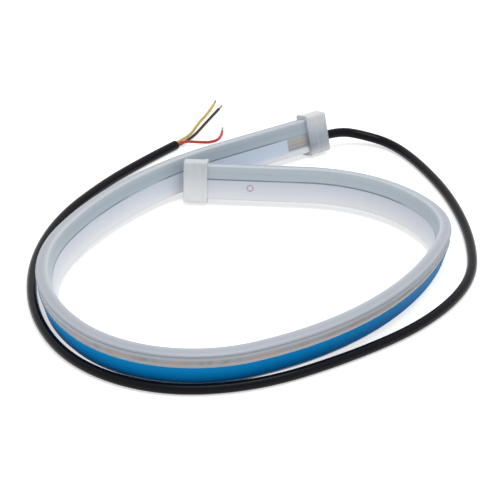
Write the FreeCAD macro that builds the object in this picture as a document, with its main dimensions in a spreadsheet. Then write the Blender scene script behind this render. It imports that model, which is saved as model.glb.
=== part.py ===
"""Flexible LED light strip for a car, rolled up and standing on its edge, as a parametric document."""
import FreeCAD, Part
import math
import os
import Sketcher

Vector = FreeCAD.Vector

# The bends between the two straight runs, from the cable end to the free end
BENDS = ["far", "left", "corner", "front", "right", "back"]
BEND_LENGTHS = " + ".join("%s_radius * %s_angle" % (bend, bend) for bend in BENDS)

# Driving sizes in millimetres and degrees, and sizes that follow from them: alias, value, what it is
SIZES = [
    ("diffuser_height", 6.8, "solid silicone above the board channel"),
    ("foot_wall", 1.0, "silicone under the board channel"),
    ("front_wall", 0.9, "silicone in front of the circuit board"),
    ("back_wall", 1.1, "silicone behind the board channel"),
    ("top_corner", 1.0, "corner radius on the diffuser edge"),
    ("low_corner", 0.6, "corner radius on the foot edge"),
    ("crease_depth", 0.2, "line on the front face at the top of the board channel"),
    ("crease_height", 0.4, "height of that line"),
    ("lean", 16.0, "outward lean of the rolled strip"),
    ("board_height", 8.0, "width of the flexible circuit board"),
    ("board_thickness", 0.3, "thickness of the board"),
    ("board_play", 0.2, "play of the board in its channel, above and below"),
    ("board_cable_gap", 22.0, "strip end to board end at the cable"),
    ("board_free_gap", 6.0, "strip end to board end at the free end"),
    ("led_pitch", 10.0, "distance between lamps of one colour"),
    ("led_margin", 9.0, "board end to the first lamp"),
    ("led_length", 2.8, "lamp along the board"),
    ("led_height", 1.2, "lamp across the board"),
    ("led_depth", 0.8, "lamp off the board"),
    ("resistor_pitch", 30.0, "distance between resistors of one colour"),
    ("resistor_length", 2.0, "chip resistor along the board"),
    ("resistor_height", 1.25, "chip resistor across the board"),
    ("resistor_depth", 0.5, "chip resistor off the board"),
    ("resistor_drop", 3.0, "board's upper edge to the resistors"),
    ("solder_margin", 0.8, "board end to the solder joints"),
    ("solder_length", 2.4, "solder joint along the board"),
    ("solder_cover", 0.2, "solder past the core on each side"),
    ("pad_edge", 0.5, "board edge to the outer solder joints"),
    ("cable_diameter", 4.5, "outer diameter of the cable jacket"),
    ("core_diameter", 1.4, "insulated core"),
    ("core_gap", 0.2, "room between cores"),
    ("cable_exit_height", 5.4, "strip foot to the cable's axis"),
    ("cable_first_run", 10.0, "cable from the strip's end, in line with it"),
    ("core_first_run", 5.0, "bare core from the jacket's end, in line with it"),
    ("tip_diameter", 0.9, "tinned strands at a core's end"),
    ("tip_length", 4.5, "bare length of the strands"),
    ("lead_clear", 0.8, "sealant to where the leads begin to spread"),
    ("lead_spread", 15.0, "strip end to where the leads are spread"),
    ("cable_plug_length", 2.5, "sealant round the leads"),
    ("free_plug_gap", 1.0, "board end to the sealant at the free end"),
    ("fit_gap", 0.05, "clearance of the caps on the silicone"),
    ("cap_wall", 1.4, "wall of the end caps"),
    ("cap_end_wall", 1.2, "closed end of the caps"),
    ("cap_corner", 1.2, "corner radius of a cap's section"),
    ("cap_lip", 0.3, "rim of a cap's open end, proud of its walls"),
    ("cap_lip_length", 1.4, "that rim along the strip"),
    ("cable_cap_rim", 1.0, "rounding of the closed end at the cable"),
    ("free_cap_rim", 0.6, "rounding of the closed end at the free end"),
    ("cable_cap_length", 11.5, "cap at the cable end"),
    ("free_cap_length", 11.0, "cap at the free end"),
    ("tape_height", 8.0, "foam tape across the strip"),
    ("tape_thickness", 0.6, "foam tape"),
    ("tape_low_gap", 2.3, "strip foot to the tape"),
    ("tape_end_gap", 1.5, "cap to the tape's end"),
    ("liner_overhang", 0.2, "liner past the tape on each edge"),
    ("liner_thickness", 0.15, "release liner film"),
    ("strip_length", 600.0, "length of the strip along its base line"),
    ("roll_line", "=strip_length + free_cap_length", "base line on to where it would meet its far leg"),
    ("start_x", "=roll_line * 0.0609", "cable end of the base line, to the right"),
    ("start_y", "=roll_line * 0.1774", "cable end of the base line, to the back"),
    ("start_heading", 214.1, "heading of the strip at its cable end"),
    ("cable_run", "=roll_line * 0.0960", "straight run at the cable end"),
    ("far_radius", "=roll_line * 0.2913", "bend after the straight run"),
    ("far_angle", 34.6, "turn of that bend"),
    ("left_radius", "=roll_line * 0.1343", "bend on the left side"),
    ("left_angle", 60.4, "turn of that bend"),
    ("corner_radius", "=roll_line * 0.0914", "bend at the front left"),
    ("corner_angle", 74.7, "turn of that bend"),
    ("front_radius", "=roll_line * 0.2359", "flat bend along the front"),
    ("front_angle", 50.0, "turn of that bend"),
    ("right_radius", "=roll_line * 0.0619", "tight bend on the right side"),
    ("right_angle", 44.5, "turn of that bend"),
    ("back_radius", "=roll_line * 0.1052", "bend into the free end"),
    ("back_angle", 56.9, "turn of that bend"),
    ("free_run", "=strip_length - cable_run - (%s) * pi / 180" % BEND_LENGTHS, "straight run at the free end"),
]

# Sizes of the section that follow from the driving ones
CHANNEL_HEIGHT = "(Sizes.board_height + 2 * Sizes.board_play)"
CHANNEL_DEPTH = "(Sizes.board_thickness + 2 * Sizes.core_diameter + 2 * Sizes.core_gap)"
STRIP_HEIGHT = "(Sizes.foot_wall + %s + Sizes.diffuser_height)" % CHANNEL_HEIGHT
STRIP_THICKNESS = "(Sizes.front_wall + %s + Sizes.back_wall)" % CHANNEL_DEPTH
FRONT_FACE = "(-%s / 2)" % STRIP_THICKNESS
CHANNEL_FRONT = "(%s + Sizes.front_wall)" % FRONT_FACE
BOARD_FACE = "(%s + Sizes.board_thickness)" % CHANNEL_FRONT
BOARD_LOW = "(Sizes.foot_wall + Sizes.board_play)"
FRONT_CORES = "(%s + Sizes.core_diameter / 2)" % BOARD_FACE
REAR_CORE = "(%s + Sizes.core_diameter + Sizes.core_gap)" % FRONT_CORES
CABLE_DEPTH = "((%s + %s) / 2)" % (FRONT_CORES, REAR_CORE)
CORE_SPACING = "(Sizes.core_diameter + Sizes.core_gap / 2)"
CAP_REACH = "(Sizes.cap_wall + Sizes.fit_gap)"
SOLDER_HEIGHT = "(Sizes.core_diameter + 2 * Sizes.solder_cover)"
PAD_SPACING = "((Sizes.board_height - %s) / 2 - Sizes.pad_edge)" % SOLDER_HEIGHT

# Share of the shorter run that an arc takes up on each side of a route's point
ARC_SHARE = 0.45

# Route of the cable after its first run: place beside the strip as a share of its length, distance out
# from the base line and lift above lying on the floor, both in millimetres
CABLE_ROUTE = [
    (0.8893, 72.1, 2.7),
    (0.8774, 71.3, 0.5),
    (0.8601, 56.9, 0.0),
    (0.8292, 36.0, 0.0),
    (0.7858, 19.5, 0.0),
    (0.7396, 19.8, 0.0),
    (0.6777, 18.0, 0.0),
    (0.6106, 14.0, 0.0),
    (0.5406, 14.2, 0.0),
    (0.4829, 14.1, 0.0),
    (0.4254, 14.2, 0.0),
    (0.3601, 13.4, 0.0),
    (0.2912, 16.2, 0.0),
    (0.2281, 25.4, 0.0),
    (0.1695, 31.6, 0.0),
    (0.1223, 38.0, 0.0),
    (0.0968, 42.6, 0.0),
]

# Routes of the core ends after their first run: right and back of the jacket's end, and lift, in millimetres
CORE_ROUTES = {
    "yellow": [(7.0, 14.0, 0.7), (10.4, 28.5, 0.0), (15.4, 41.5, 0.0), (17.7, 51.0, 0.0)],
    "black": [(8.6, 12.4, 0.5), (12.6, 24.6, 0.0), (17.2, 37.0, 0.0), (20.4, 45.4, 0.0)],
    "red": [(10.6, 5.0, 0.7), (17.8, 6.4, 0.0), (22.0, 11.6, 0.0), (22.4, 18.6, 0.0)],
}

# Place of each core in the cable's end, in degrees round its axis from straight up
CORE_ANGLES = {"yellow": 60.0, "red": -60.0, "black": 180.0}


def make_sheet(doc):
    """Writes the driving sizes into a spreadsheet with one alias for each."""
    sheet = doc.addObject("Spreadsheet::Sheet", "Sizes")
    for row, (alias, number, note) in enumerate(SIZES, start=1):
        sheet.set("A%d" % row, note)
        sheet.set("B%d" % row, str(number))
        sheet.setAlias("B%d" % row, alias)
    doc.recompute()
    return sheet


DOC = FreeCAD.newDocument("LightStrip")
SHEET = make_sheet(DOC)
PIECES = []


def size(alias):
    """A driving size as a plain number."""
    return float(getattr(SHEET, alias))


def value(expression):
    """An expression of the sheet as a plain number."""
    return float(SHEET.evalExpression(expression))


def keep(piece, label):
    """Names a finished sub-part and puts it on the list of those that are written."""
    piece.Label = label
    PIECES.append(piece)
    return piece


def origin_plane(body, role):
    """One of a body's own origin planes."""
    return [item for item in body.Origin.OriginFeatures if item.Role == role][0]


def new_sketch(body, name, role, offset=FreeCAD.Placement()):
    """A sketch on one of the body's origin planes, moved by an offset."""
    sketch = body.newObject("Sketcher::SketchObject", name)
    sketch.AttachmentSupport = [(origin_plane(body, role), "")]
    sketch.MapMode = "FlatFace"
    sketch.AttachmentOffset = offset
    return sketch


def constrain(sketch, name, expression, kind, *where, factor=1.0):
    """Adds a named dimension to a sketch and binds it to an expression of the sheet."""
    index = sketch.addConstraint(Sketcher.Constraint(kind, *where, value(expression) * factor))
    sketch.renameConstraint(index, name)
    unit = " * 1 deg" if kind == "Angle" else ""
    sketch.setExpression("Constraints." + name, expression + unit)


# Where the strip runs


def base_height():
    """Height of the base line at which the rounded lower edge of the caps' rims touches the floor."""
    lean = math.radians(size("lean"))
    corner = size("cap_corner") + size("cap_lip")
    reach = value(CAP_REACH) - size("cap_corner")
    corner_out = value(STRIP_THICKNESS) / 2 + reach
    return corner + corner_out * math.sin(lean) + reach * math.cos(lean)


def bend_centre(point, heading, radius):
    """Centre of a bend to the left, from where it starts."""
    return point + Vector(-math.sin(heading), math.cos(heading), 0) * radius


def station(distance):
    """Point of the base line and heading of the strip at a distance from its cable end."""
    point = Vector(size("start_x"), size("start_y"), base_height())
    heading = math.radians(size("start_heading"))
    run = min(distance, size("cable_run"))
    point += Vector(math.cos(heading), math.sin(heading), 0) * run
    distance -= run
    for bend in BENDS:
        radius = size(bend + "_radius")
        turn = min(distance / radius, math.radians(size(bend + "_angle")))
        centre = bend_centre(point, heading, radius)
        heading += turn
        point = centre + Vector(math.sin(heading), -math.cos(heading), 0) * radius
        distance -= turn * radius
    point += Vector(math.cos(heading), math.sin(heading), 0) * distance
    return point, heading


def section_axes(heading):
    """Directions along the strip, out of its back and up its leaning face."""
    lean = math.radians(size("lean"))
    along = Vector(math.cos(heading), math.sin(heading), 0)
    level_out = Vector(math.sin(heading), -math.cos(heading), 0)
    up = Vector(0, 0, 1)
    out = level_out * math.cos(lean) - up * math.sin(lean)
    rise = up * math.cos(lean) + level_out * math.sin(lean)
    return along, out, rise


def strip_point(distance, out_by, rise_by):
    """A point of the strip by its distance along, depth and height in the section."""
    point, heading = station(distance)
    _, out, rise = section_axes(heading)
    return point + out * out_by + rise * rise_by


def section_frame(distance):
    """Placement with X out of the strip's back, Y up its face and Z back towards the cable end."""
    point, heading = station(distance)
    along, out, rise = section_axes(heading)
    return FreeCAD.Placement(point, FreeCAD.Rotation(out, rise, -along, "XYZ"))


# Sketches that the pieces share


def draw_path(sketch, start_inset, end_inset):
    """Draws the base line as two runs and the bends, shortened at its ends by two expressions."""
    level = Vector(0, 0, base_height())
    travelled = size("cable_run")
    sketch.addGeometry(Part.LineSegment(station(value(start_inset))[0] - level, station(travelled)[0] - level))
    for bend in BENDS:
        radius = size(bend + "_radius")
        sweep = math.radians(size(bend + "_angle"))
        point, heading = station(travelled)
        circle = Part.Circle(bend_centre(point - level, heading, radius), Vector(0, 0, 1), radius)
        sketch.addGeometry(Part.ArcOfCircle(circle, heading - math.pi / 2, heading - math.pi / 2 + sweep))
        travelled += radius * sweep
    finish = size("strip_length") - value(end_inset)
    sketch.addGeometry(Part.LineSegment(station(travelled)[0] - level, station(finish)[0] - level))
    last = len(BENDS) + 1
    for index in range(last):
        sketch.addConstraint(Sketcher.Constraint("Tangent", index, 2, index + 1, 1))
    shift = "Sizes.start_%s + (%s) * %s(Sizes.start_heading * 1 deg)"
    constrain(sketch, "start_x", shift % ("x", start_inset, "cos"), "DistanceX", -1, 1, 0, 1)
    constrain(sketch, "start_y", shift % ("y", start_inset, "sin"), "DistanceY", -1, 1, 0, 1)
    constrain(sketch, "heading", "Sizes.start_heading", "Angle", 0, factor=math.radians(1))
    constrain(sketch, "cable_run", "Sizes.cable_run - (%s)" % start_inset, "Distance", 0)
    for index, bend in enumerate(BENDS, start=1):
        constrain(sketch, bend + "_radius", "Sizes.%s_radius" % bend, "Radius", index)
        constrain(sketch, bend + "_angle", "Sizes.%s_angle" % bend, "Angle", index, factor=math.radians(1))
    constrain(sketch, "free_run", "Sizes.free_run - (%s)" % end_inset, "Distance", last)


def draw_rectangle(sketch, name, left, low, width, height):
    """Draws a rectangle from four expressions of the sheet."""
    base = sketch.GeometryCount
    low_left = Vector(value(left), value(low), 0)
    across = Vector(value(width), 0, 0)
    rise = Vector(0, value(height), 0)
    corners = [low_left, low_left + across, low_left + across + rise, low_left + rise]
    for index in range(4):
        sketch.addGeometry(Part.LineSegment(corners[index], corners[(index + 1) % 4]))
    for index in range(4):
        sketch.addConstraint(Sketcher.Constraint("Coincident", base + index, 2, base + (index + 1) % 4, 1))
        kind = "Horizontal" if index % 2 == 0 else "Vertical"
        sketch.addConstraint(Sketcher.Constraint(kind, base + index))
    constrain(sketch, name + "_left", left, "DistanceX", -1, 1, base, 1)
    constrain(sketch, name + "_low", low, "DistanceY", -1, 1, base, 1)
    constrain(sketch, name + "_width", width, "DistanceX", base, 1, base, 2)
    constrain(sketch, name + "_height", height, "DistanceY", base + 1, 1, base + 1, 2)


def draw_rounded_rectangle(sketch, name, left, low, width, height, low_radius, top_radius):
    """Draws a rectangle with rounded corners from expressions of the sheet."""
    base = sketch.GeometryCount
    x_low, y_low = value(left), value(low)
    x_top, y_top = x_low + value(width), y_low + value(height)
    small, large = value(low_radius), value(top_radius)
    sides = [
        ((x_low + small, y_low), (x_top - small, y_low)),
        ((x_top, y_low + small), (x_top, y_top - large)),
        ((x_top - large, y_top), (x_low + large, y_top)),
        ((x_low, y_top - large), (x_low, y_low + small)),
    ]
    for first, last in sides:
        sketch.addGeometry(Part.LineSegment(Vector(*first, 0), Vector(*last, 0)))
    corners = [
        (x_top - small, y_low + small, small),
        (x_top - large, y_top - large, large),
        (x_low + large, y_top - large, large),
        (x_low + small, y_low + small, small),
    ]
    for index, (x, y, radius) in enumerate(corners):
        circle = Part.Circle(Vector(x, y, 0), Vector(0, 0, 1), radius)
        first = (index - 1) * math.pi / 2
        sketch.addGeometry(Part.ArcOfCircle(circle, first, first + math.pi / 2))
    for index in range(4):
        sketch.addConstraint(Sketcher.Constraint("Tangent", base + index, 2, base + 4 + index, 1))
        sketch.addConstraint(Sketcher.Constraint("Tangent", base + 4 + index, 2, base + (index + 1) % 4, 1))
        kind = "Horizontal" if index % 2 == 0 else "Vertical"
        sketch.addConstraint(Sketcher.Constraint(kind, base + index))
    constrain(sketch, name + "_left", left, "DistanceX", -1, 1, base + 3, 1)
    constrain(sketch, name + "_low", low, "DistanceY", -1, 1, base, 1)
    constrain(sketch, name + "_width", width, "DistanceX", base + 3, 1, base + 1, 1)
    constrain(sketch, name + "_height", height, "DistanceY", base, 1, base + 2, 1)
    radii = [low_radius, top_radius, top_radius, low_radius]
    for index, radius in enumerate(radii):
        constrain(sketch, "%s_corner_%d" % (name, index), radius, "Radius", base + 4 + index)


def draw_circle(sketch, name, x, y, diameter):
    """Draws a circle from three expressions of the sheet."""
    index = sketch.GeometryCount
    sketch.addGeometry(Part.Circle(Vector(value(x), value(y), 0), Vector(0, 0, 1), value(diameter) / 2))
    constrain(sketch, name + "_x", x, "DistanceX", -1, 1, index, 3)
    constrain(sketch, name + "_y", y, "DistanceY", -1, 1, index, 3)
    constrain(sketch, name + "_diameter", diameter, "Diameter", index)


# Pieces that run along the whole strip


def sweep(body, kind, name, path, section):
    """Adds or cuts a section along a path, with the section's lean kept."""
    DOC.recompute()
    pipe = body.newObject("PartDesign::" + kind, name)
    pipe.Profile = section
    pipe.Spine = (path, [])
    pipe.Mode = "Binormal"
    pipe.Binormal = Vector(0, 0, 1)


def swept_body(label, draw_section, start_inset, end_inset):
    """A body whose section follows the base line."""
    body = DOC.addObject("PartDesign::Body", label)
    level = FreeCAD.Placement(Vector(0, 0, base_height()), FreeCAD.Rotation())
    path = new_sketch(body, label + "_path", "XY_Plane", level)
    draw_path(path, start_inset, end_inset)
    section = new_sketch(body, label + "_section", "XY_Plane", section_frame(value(start_inset)))
    draw_section(section)
    sweep(body, "AdditivePipe", label + "_pipe", path, section)
    return keep(body, label)


def draw_silicone(sketch):
    """Outer section of the strip with the channel for the board."""
    draw_rounded_rectangle(sketch, "outside", FRONT_FACE, "0", STRIP_THICKNESS, STRIP_HEIGHT,
                           "Sizes.low_corner", "Sizes.top_corner")
    draw_rectangle(sketch, "channel", CHANNEL_FRONT, "Sizes.foot_wall", CHANNEL_DEPTH, CHANNEL_HEIGHT)


def draw_board(sketch):
    """Section of the flexible board, flat against the channel's front wall."""
    draw_rectangle(sketch, "board", CHANNEL_FRONT, BOARD_LOW, "Sizes.board_thickness", "Sizes.board_height")


def draw_tape(sketch):
    """Section of the foam tape on the strip's back."""
    draw_rectangle(sketch, "tape", "-" + FRONT_FACE, "Sizes.tape_low_gap", "Sizes.tape_thickness",
                   "Sizes.tape_height")


def draw_liner(sketch):
    """Section of the film that covers the tape."""
    draw_rectangle(sketch, "liner", "-%s + Sizes.tape_thickness" % FRONT_FACE,
                   "Sizes.tape_low_gap - Sizes.liner_overhang", "Sizes.liner_thickness",
                   "Sizes.tape_height + 2 * Sizes.liner_overhang")


def cut_crease(body):
    """Cuts the line on the strip's front face that parts the diffuser from the board channel."""
    section = new_sketch(body, "crease_section", "XY_Plane", section_frame(0))
    low = "Sizes.foot_wall + %s - Sizes.crease_height / 2" % CHANNEL_HEIGHT
    draw_rectangle(section, "crease", FRONT_FACE + " - Sizes.crease_depth", low, "2 * Sizes.crease_depth",
                   "Sizes.crease_height")
    sweep(body, "SubtractivePipe", "crease", DOC.getObject("silicone_profile_path"), section)


def make_long_pieces():
    """The silicone section, the board inside it and the tape with its liner."""
    strip = swept_body("silicone_profile", draw_silicone, "0", "0")
    cut_crease(strip)
    swept_body("circuit_board", draw_board, "Sizes.board_cable_gap", "Sizes.board_free_gap")
    tape_gap = "Sizes.%s_cap_length - Sizes.cap_end_wall + Sizes.tape_end_gap"
    swept_body("foam_tape", draw_tape, tape_gap % "cable", tape_gap % "free")
    swept_body("release_liner", draw_liner, tape_gap % "cable", tape_gap % "free")


# Pieces on the board


def make_row(label, master, stations, depth_from, height_from):
    """A group of equal chips along the board, each flat on its outward face."""
    chips = []
    for distance in stations:
        _, heading = station(distance)
        along, out, rise = section_axes(heading)
        corner = strip_point(distance, depth_from, height_from) - along * (master.Length.Value / 2)
        chip = master.Shape.copy()
        chip.Placement = FreeCAD.Placement(corner, FreeCAD.Rotation(along, out, -rise, "XYZ"))
        chips.append(chip)
    group = DOC.addObject("Part::Feature", label)
    group.Shape = Part.makeCompound(chips)
    return keep(group, label)


def chip_box(name, length, depth, height):
    """One chip as a box bound to the sheet: along the board, off it and across it."""
    box = DOC.addObject("Part::Box", name)
    box.setExpression("Length", length)
    box.setExpression("Width", depth)
    box.setExpression("Height", height)
    DOC.recompute()
    return box


def spaced(first, last, pitch):
    """Distances from first to last, a pitch apart."""
    count = int((last - first) / pitch + 1e-6) + 1
    return [first + index * pitch for index in range(count)]


def make_chips():
    """White and amber lamps along the board's upper edge, and the resistors below them."""
    first = size("board_cable_gap") + size("led_margin")
    last = size("strip_length") - size("board_free_gap") - size("led_margin")
    half = size("led_pitch") / 2
    face = value(BOARD_FACE)
    top = value(BOARD_LOW) + size("board_height")
    lamp = chip_box("lamp", "Sizes.led_length", "Sizes.led_depth", "Sizes.led_height")
    make_row("white_leds", lamp, spaced(first, last, size("led_pitch")), face, top)
    make_row("amber_leds", lamp, spaced(first + half, last, size("led_pitch")), face, top)
    resistor = chip_box("resistor", "Sizes.resistor_length", "Sizes.resistor_depth", "Sizes.resistor_height")
    pitch = size("resistor_pitch") / 2
    make_row("chip_resistors", resistor, spaced(first, last, pitch), face, top - size("resistor_drop"))


def pad_heights():
    """Heights of the three solder joints, from the foot up."""
    middle = size("foot_wall") + value(CHANNEL_HEIGHT) / 2
    return [middle + index * value(PAD_SPACING) for index in (-1, 0, 1)]


def make_solder():
    """Three solder joints that hold the leads on the board."""
    length, cover = size("solder_length"), size("solder_cover")
    depth = size("core_diameter") + cover
    height = value(SOLDER_HEIGHT)
    start = size("board_cable_gap") + size("solder_margin")
    joints = []
    for middle in pad_heights():
        joint = Part.makeBox(height, length, depth)
        rounded = [edge for edge in joint.Edges if min(point.Point.z for point in edge.Vertexes) > depth / 2]
        joint = joint.makeFillet(cover, rounded)
        _, heading = station(start)
        along, out, rise = section_axes(heading)
        corner = strip_point(start, value(BOARD_FACE), middle + height / 2)
        joint.Placement = FreeCAD.Placement(corner, FreeCAD.Rotation(-rise, along, out, "XYZ"))
        joints.append(joint)
    group = DOC.addObject("Part::Feature", "solder_joints")
    group.Shape = Part.makeCompound(joints)
    keep(group, "solder_joints")


# Round pieces that follow a route


def rounded_wire(points, name):
    """Straight runs joined by tangent arcs, each as large as its two runs allow."""
    edges = []
    start = points[0]
    radii = []
    for before, corner, after in zip(points, points[1:], points[2:]):
        arrive, leave = corner - before, after - corner
        reach = ARC_SHARE * min(arrive.Length, leave.Length)
        half_turn = arrive.getAngle(leave) / 2
        radius = reach / math.tan(half_turn)
        arrive.normalize()
        leave.normalize()
        inward = (leave - arrive).normalize()
        first, last = corner - arrive * reach, corner + leave * reach
        middle = corner + inward * (radius / math.cos(half_turn) - radius)
        edges.append(Part.LineSegment(start, first).toShape())
        edges.append(Part.Arc(first, middle, last).toShape())
        start = last
        radii.append(round(radius, 1))
    edges.append(Part.LineSegment(start, points[-1]).toShape())
    wire = Part.Wire(edges)
    print(name, "length %.1f" % wire.Length, "radii", radii)
    return wire


def make_tube(label, points, diameter):
    """A round tube along a route, with its diameter bound to the sheet."""
    route = DOC.addObject("Part::Feature", label + "_route")
    route.Shape = rounded_wire(points, label)
    ring = DOC.addObject("Part::Circle", label + "_ring")
    ring.setExpression("Radius", diameter + " / 2")
    ring.Placement = FreeCAD.Placement(points[0], FreeCAD.Rotation(Vector(0, 0, 1), points[1] - points[0]))
    tube = DOC.addObject("Part::Sweep", label)
    tube.Sections = [ring]
    tube.Spine = (route, ["Edge%d" % (index + 1) for index in range(len(route.Shape.Edges))])
    tube.Solid = True
    tube.Frenet = True
    DOC.recompute()
    area = math.pi * (value(diameter) / 2) ** 2
    print(label, "volume share %.4f" % (tube.Shape.Volume / (area * route.Shape.Length)))
    return keep(tube, label)


def lead_places():
    """Depth and height of each lead where the jacket ends, and its height on the board."""
    low_pad, middle_pad, top_pad = pad_heights()
    exit_height = size("cable_exit_height")
    half = value(CORE_SPACING) / 2
    return {
        "black_lead": (value(FRONT_CORES), exit_height - half, low_pad),
        "red_lead": (value(REAR_CORE), exit_height, middle_pad),
        "yellow_lead": (value(FRONT_CORES), exit_height + half, top_pad),
    }


def make_leads():
    """Three leads from the solder joints to the cable's cores."""
    board_end = size("board_cable_gap") + size("solder_margin")
    depth_on_board = value(FRONT_CORES)
    lead_turn = (size("cable_plug_length") + size("lead_clear")) / (1 - ARC_SHARE)
    for label, (depth, height, pad) in lead_places().items():
        points = [
            strip_point(board_end, depth_on_board, pad),
            strip_point(size("lead_spread"), depth_on_board, pad),
            strip_point(lead_turn, depth, height),
            strip_point(0, depth, height),
        ]
        make_tube(label, points, "Sizes.core_diameter")


def beside_strip(share, gap, height):
    """A point at a height above the floor, level out from the base line by a gap."""
    point, heading = station(share * size("strip_length"))
    return Vector(point.x + math.sin(heading) * gap, point.y - math.cos(heading) * gap, height)


def make_cable():
    """The jacketed cable, its three cores past the jacket and their tinned tips."""
    along, _, _ = section_axes(station(0)[1])
    start = strip_point(0, value(CABLE_DEPTH), size("cable_exit_height"))
    points = [start, start - along * size("cable_first_run")]
    points += [beside_strip(share, gap, lift + size("cable_diameter") / 2) for share, gap, lift in CABLE_ROUTE]
    make_tube("cable_jacket", points, "Sizes.cable_diameter")
    end = points[-1]
    ahead = (points[-1] - points[-2]).normalize()
    side = Vector(0, 0, 1).cross(ahead)
    core_ring = (size("core_diameter") + size("core_gap")) / math.sqrt(3)
    for colour, route in CORE_ROUTES.items():
        turn = math.radians(CORE_ANGLES[colour])
        offset = Vector(0, 0, math.cos(turn)) * core_ring + side * (math.sin(turn) * core_ring)
        core = [end + offset, end + offset + ahead * size("core_first_run")]
        core += [Vector(end.x + right, end.y + back, lift + size("core_diameter") / 2) for right, back, lift in route]
        make_tube(colour + "_core", core, "Sizes.core_diameter")
        make_tip(colour + "_tip", core[-1], core[-1] - core[-2])


def make_tip(label, start, direction):
    """Tinned strands past the end of a core."""
    tip = DOC.addObject("Part::Cylinder", label)
    tip.setExpression("Radius", "Sizes.tip_diameter / 2")
    tip.setExpression("Height", "Sizes.tip_length")
    tip.Placement = FreeCAD.Placement(start, FreeCAD.Rotation(Vector(0, 0, 1), direction))
    keep(tip, label)


# Pieces at the two ends


def end_frame(distance, outward):
    """Placement at a strip end with X out of the end and Z up the leaning face."""
    point, heading = station(distance)
    along, out, rise = section_axes(heading)
    forward = along * outward
    return FreeCAD.Placement(point, FreeCAD.Rotation(forward, rise.cross(forward), rise, "XYZ"))


def pad(body, sketch, length):
    """Pads a sketch of the section by an expression of the sheet."""
    feature = body.newObject("PartDesign::Pad", sketch.Name + "_pad")
    feature.Profile = sketch
    feature.setExpression("Length", length)
    DOC.recompute()
    return feature


def pocket(body, sketch, length):
    """Cuts a sketch forward along X by an expression of the sheet."""
    before = body.Shape.Volume
    feature = body.newObject("PartDesign::Pocket", sketch.Name + "_pocket")
    feature.Profile = sketch
    feature.setExpression("Length", length)
    feature.Reversed = True
    DOC.recompute()
    if body.Shape.Volume >= before:
        raise RuntimeError("the cut of %s takes nothing away" % sketch.Name)
    return feature


def end_section(body, name, setback):
    """A sketch across the strip's end, set back along X by an expression of the sheet."""
    sketch = new_sketch(body, name, "YZ_Plane")
    sketch.setExpression("AttachmentOffset.Base.z", "-(%s)" % setback)
    return sketch


def draw_cap_outside(sketch, reach, corner):
    """Section of a cap that reaches past the strip on every side by an expression of the sheet."""
    draw_rounded_rectangle(sketch, "outside", "%s - %s" % (FRONT_FACE, reach), "-" + reach,
                           "%s + 2 * %s" % (STRIP_THICKNESS, reach), "%s + 2 * %s" % (STRIP_HEIGHT, reach),
                           corner, corner)


def make_cap(label, end, distance, outward):
    """A moulded sleeve with one closed end and a rim at the open one, pushed over the end of the strip."""
    body = DOC.addObject("PartDesign::Body", label)
    length = "Sizes.%s_cap_length" % end
    overlap = "%s - Sizes.cap_end_wall" % length
    outside = end_section(body, label + "_outside", overlap)
    draw_cap_outside(outside, CAP_REACH, "Sizes.cap_corner")
    solid = pad(body, outside, length)
    closed = size("cap_end_wall")
    rim = ["Edge%d" % (index + 1) for index, edge in enumerate(solid.Shape.Edges)
           if all(abs(vertex.Point.x - closed) < 1e-6 for vertex in edge.Vertexes)]
    rounding = body.newObject("PartDesign::Fillet", label + "_rim")
    rounding.Base = (solid, rim)
    rounding.setExpression("Radius", "Sizes.%s_cap_rim" % end)
    DOC.recompute()
    lip = end_section(body, label + "_lip", overlap)
    draw_cap_outside(lip, "(%s + Sizes.cap_lip)" % CAP_REACH, "Sizes.cap_corner + Sizes.cap_lip")
    pad(body, lip, "Sizes.cap_lip_length")
    inside = end_section(body, label + "_inside", overlap)
    draw_rounded_rectangle(inside, "inside", "%s - Sizes.fit_gap" % FRONT_FACE, "-Sizes.fit_gap",
                           "%s + 2 * Sizes.fit_gap" % STRIP_THICKNESS, "%s + 2 * Sizes.fit_gap" % STRIP_HEIGHT,
                           "Sizes.low_corner + Sizes.fit_gap", "Sizes.top_corner + Sizes.fit_gap")
    pocket(body, inside, overlap)
    body.Placement = end_frame(distance, outward)
    return keep(body, label)


def make_caps():
    """Both end caps, the one at the cable with a hole for it."""
    make_cap("free_end_cap", "free", size("strip_length"), 1)
    cap = make_cap("cable_end_cap", "cable", 0, -1)
    hole = end_section(cap, "cable_hole", "Sizes.fit_gap")
    draw_circle(hole, "cable", CABLE_DEPTH, "Sizes.cable_exit_height", "Sizes.cable_diameter")
    pocket(cap, hole, "Sizes.cap_end_wall + 2 * Sizes.fit_gap")


def make_plug(label, length, distance, outward):
    """Sealant that fills the end of the board channel."""
    body = DOC.addObject("PartDesign::Body", label)
    section = end_section(body, label + "_section", length)
    left = CHANNEL_FRONT if outward < 0 else "-(%s + %s)" % (CHANNEL_FRONT, CHANNEL_DEPTH)
    draw_rectangle(section, "channel", left, "Sizes.foot_wall", CHANNEL_DEPTH, CHANNEL_HEIGHT)
    pad(body, section, length)
    body.Placement = end_frame(distance, outward)
    return keep(body, label)


def make_plugs():
    """Sealant at both ends, the one at the cable with holes for the leads."""
    make_plug("free_end_sealant", "Sizes.board_free_gap - Sizes.free_plug_gap", size("strip_length"), 1)
    plug = make_plug("cable_end_sealant", "Sizes.cable_plug_length", 0, -1)
    holes = end_section(plug, "lead_holes", "Sizes.cable_plug_length + Sizes.fit_gap")
    half = CORE_SPACING + " / 2"
    draw_circle(holes, "black", FRONT_CORES, "Sizes.cable_exit_height - " + half, "Sizes.core_diameter")
    draw_circle(holes, "red", REAR_CORE, "Sizes.cable_exit_height", "Sizes.core_diameter")
    draw_circle(holes, "yellow", FRONT_CORES, "Sizes.cable_exit_height + " + half, "Sizes.core_diameter")
    pocket(plug, holes, "Sizes.cable_plug_length + 2 * Sizes.fit_gap")


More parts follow.
